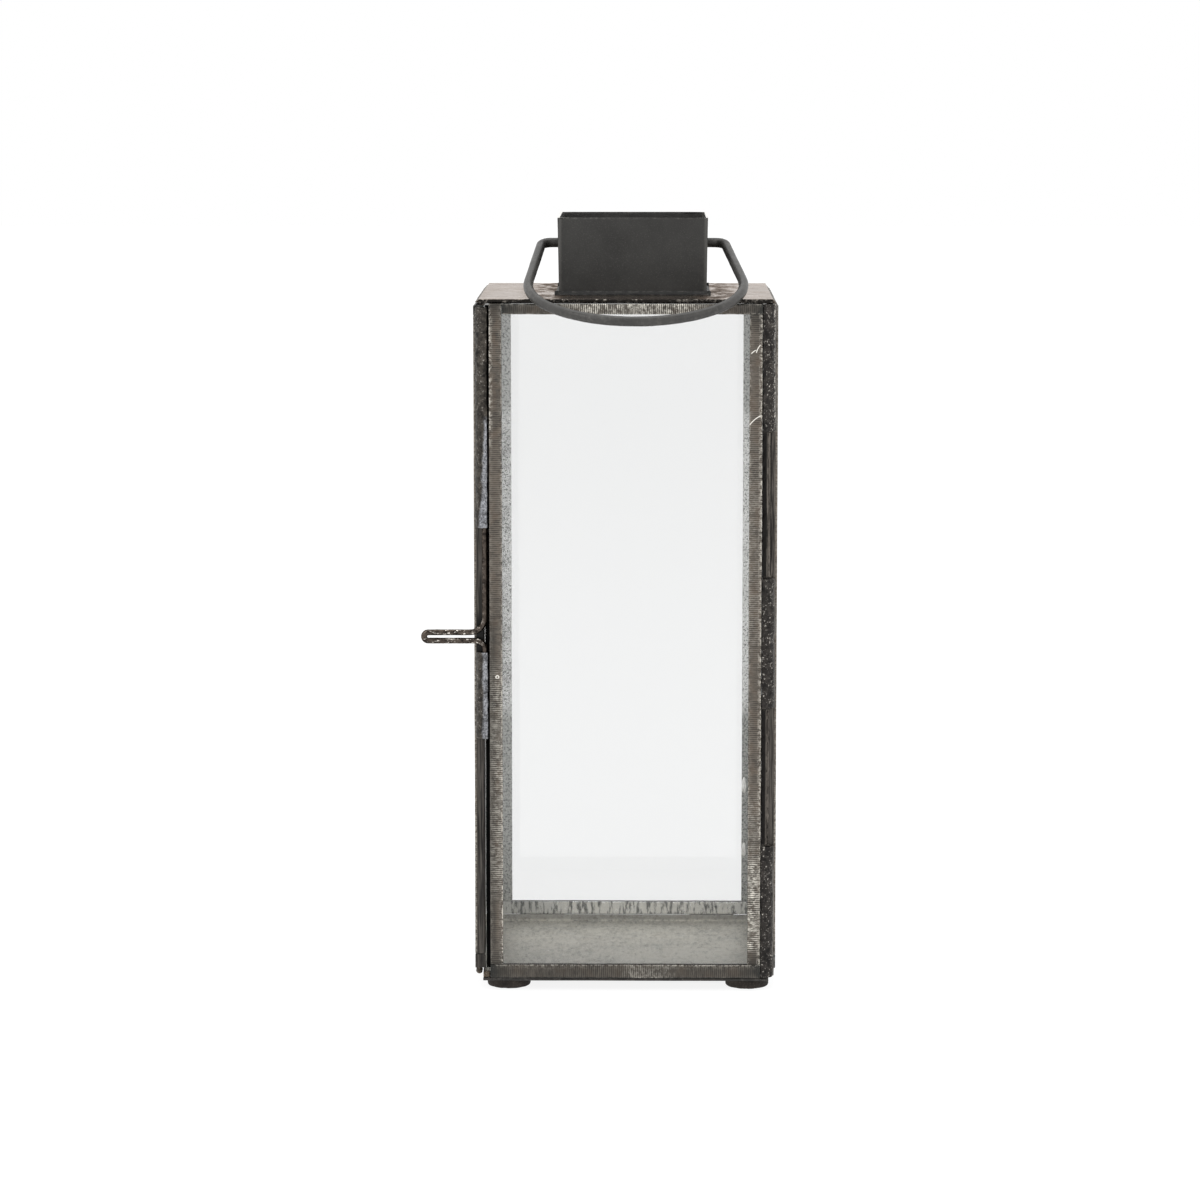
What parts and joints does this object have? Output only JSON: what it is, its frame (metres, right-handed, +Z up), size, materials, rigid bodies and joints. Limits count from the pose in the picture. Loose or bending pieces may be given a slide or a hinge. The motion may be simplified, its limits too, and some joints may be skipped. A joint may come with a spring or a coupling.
{
  "type": "candle lantern",
  "caption": "Square glazed metal candle lantern with a hinged side door, an open chimney on its roof and a swinging wire bail.",
  "frame": {"origin": "on the plane that the lantern stands on, under the centre of its square box", "axes": "+Z up, +Y from the front panel to the back panel, +X to the right as seen from the front; the door is on the -X side"},
  "size_m": [0.1175, 0.1261, 0.2556],
  "materials": {
    "patina_strip": "dark brown-grey antique patina over fine cross-ribbing, worn bright along the edges",
    "tray": "satin grey, mottled",
    "roof": "dark patina with a satin sheen and brown stains",
    "chimney": "matt charcoal",
    "bail": "satin charcoal",
    "pull": "dark and glossy with bright specks",
    "solder": "rough, pitted, dark grey with bright specks",
    "hinge": "dark patina, worn bright",
    "foot": "matt brown-black",
    "glass": "clear"
  },
  "bodies": {
    "lantern_body": {"base_tray": "tray", "roof_plate": "roof", "chimney_shell": "chimney", "chimney_foot_bead": "chimney", "front_corner_solder": "solder", "rear_corner_solder": "solder", "roof_edge_solder": "solder", "base_solder": "solder", "hinge_body_tubes": "hinge", "hinge_pin": "hinge", "door_stop": "patina_strip", "foot_front_left": "foot", "foot_front_right": "foot", "foot_rear_left": "foot", "foot_rear_right": "foot", "front_glass": "glass", "front_left_stile": "patina_strip", "front_right_stile": "patina_strip", "front_top_rail": "patina_strip", "front_bottom_rail": "patina_strip", "back_glass": "glass", "back_left_stile": "patina_strip", "back_right_stile": "patina_strip", "back_top_rail": "patina_strip", "back_bottom_rail": "patina_strip", "right_glass": "glass", "right_left_stile": "patina_strip", "right_right_stile": "patina_strip", "right_top_rail": "patina_strip", "right_bottom_rail": "patina_strip"},
    "side_door": {"door_glass": "glass", "door_left_stile": "patina_strip", "door_right_stile": "patina_strip", "door_top_rail": "patina_strip", "door_bottom_rail": "patina_strip", "door_pull": "pull", "door_edge_solder": "solder", "hinge_door_tubes": "hinge"},
    "carry_bail": {"bail_wire": "bail"}
  },
  "joints": [
    {"name": "door_swing", "type": "hinge", "parent": "lantern_body", "child": "side_door", "pos_m": [-0.0482, 0.0482, 0.118], "axis": [0, 0, -1], "range_deg": [0, 180]},
    {"name": "bail_swing", "type": "hinge", "parent": "lantern_body", "child": "carry_bail", "pos_m": [0.0022, 0, 0.2462], "axis": [-1, 0, 0], "range_deg": [0, 212.7]}
  ]
}
